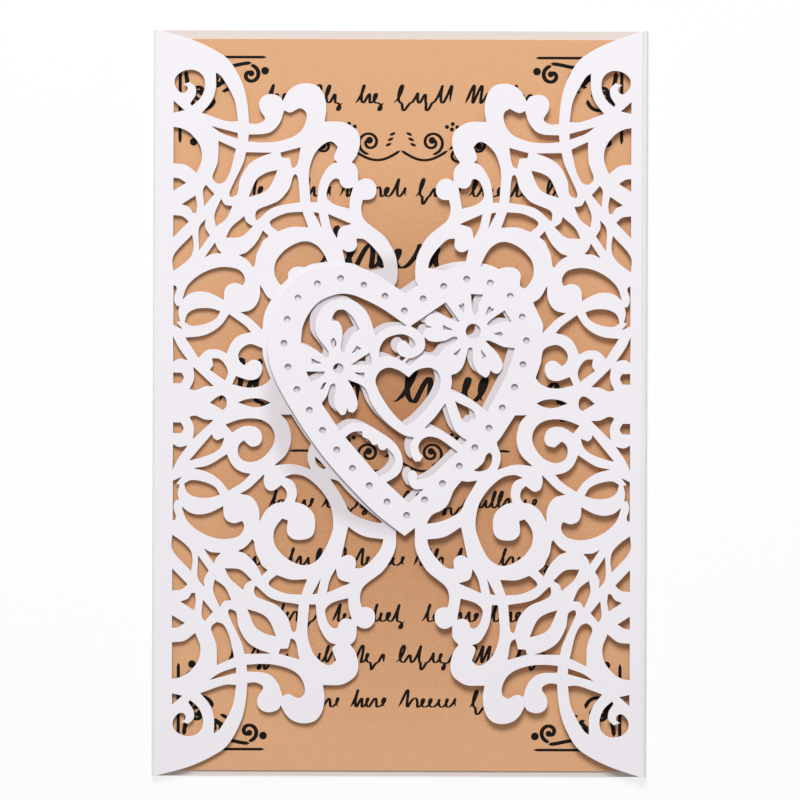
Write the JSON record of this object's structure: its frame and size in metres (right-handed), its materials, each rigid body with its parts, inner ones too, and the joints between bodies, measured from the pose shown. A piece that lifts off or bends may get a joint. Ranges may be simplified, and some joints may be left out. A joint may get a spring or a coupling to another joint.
{
  "type": "invitation card",
  "caption": "Closed gate-fold invitation card: one folded sheet whose two laser-cut lace flaps overlap in a heart over an insert sheet.",
  "frame": {"origin": "centre of the back panel's underside, which rests on the table", "axes": "+X across the card from the left fold to the right fold, +Y up the face of the card, +Z out of the face, up from the table"},
  "size_m": [0.12, 0.181, 0.0026],
  "materials": {
    "pearl_card": "satin",
    "bronze_paper": "satin"
  },
  "bodies": {
    "root": {"lace_wrap": "pearl_card", "insert_sheet": "bronze_paper"}
  },
  "joints": []
}
